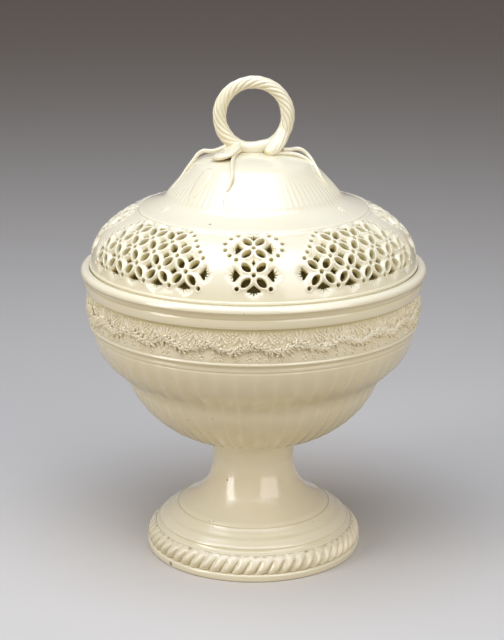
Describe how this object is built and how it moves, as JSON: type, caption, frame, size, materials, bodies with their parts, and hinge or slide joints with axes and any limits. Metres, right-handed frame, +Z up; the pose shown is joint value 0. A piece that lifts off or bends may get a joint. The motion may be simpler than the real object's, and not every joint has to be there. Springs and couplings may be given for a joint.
{
  "type": "covered chestnut basket",
  "caption": "Footed round bowl with a lift-off pierced domed cover, rope ring handle, applied leafy frieze and rope border, in cream-glazed earthenware.",
  "frame": {"origin": "centre of the foot's underside, on the surface that it stands on", "axes": "+Z up through the ring handle, -Y the front, the ring's plane in X and Z"},
  "size_m": [0.1988, 0.1988, 0.2797],
  "materials": {
    "cream_glaze": "smooth glossy lead glaze over a cream body, pooling yellow-green in the hollows",
    "relief_glaze": "glossy glaze over moulded relief, thicker and yellower between the ornaments",
    "handle_glaze": "glossy glaze over rolled and modelled clay, yellower in the furrows"
  },
  "bodies": {
    "basket": {"pedestal_foot": "cream_glaze", "foot_cable_border": "relief_glaze", "bowl": "cream_glaze", "frieze_garland": "relief_glaze", "frieze_spray_01": "relief_glaze", "frieze_spray_02": "relief_glaze", "frieze_spray_03": "relief_glaze", "frieze_spray_04": "relief_glaze", "frieze_spray_05": "relief_glaze", "frieze_spray_06": "relief_glaze", "frieze_spray_07": "relief_glaze", "frieze_spray_08": "relief_glaze", "frieze_spray_09": "relief_glaze", "frieze_spray_10": "relief_glaze", "frieze_spray_11": "relief_glaze", "frieze_spray_12": "relief_glaze", "frieze_spray_13": "relief_glaze", "frieze_spray_14": "relief_glaze", "frieze_spray_15": "relief_glaze", "frieze_spray_16": "relief_glaze", "frieze_spray_17": "relief_glaze", "frieze_spray_18": "relief_glaze", "frieze_spray_19": "relief_glaze", "frieze_spray_20": "relief_glaze", "frieze_spray_21": "relief_glaze", "frieze_spray_22": "relief_glaze", "frieze_spray_23": "relief_glaze", "frieze_spray_24": "relief_glaze"},
    "cover": {"cover_shell": "cream_glaze", "ring_handle": "handle_glaze", "left_rope_end": "handle_glaze", "right_rope_end": "handle_glaze", "left_twig": "handle_glaze", "right_twig": "handle_glaze", "right_lower_twig": "handle_glaze", "front_twig": "handle_glaze", "back_twig": "handle_glaze", "left_leaf": "handle_glaze", "front_leaf": "handle_glaze", "back_leaf": "handle_glaze", "left_rosette": "handle_glaze", "right_rosette": "handle_glaze"}
  },
  "joints": [
    {"name": "cover_lift", "type": "slide", "parent": "basket", "child": "cover", "axis": [0, 0, 1], "range_m": [0, 0.12]}
  ]
}
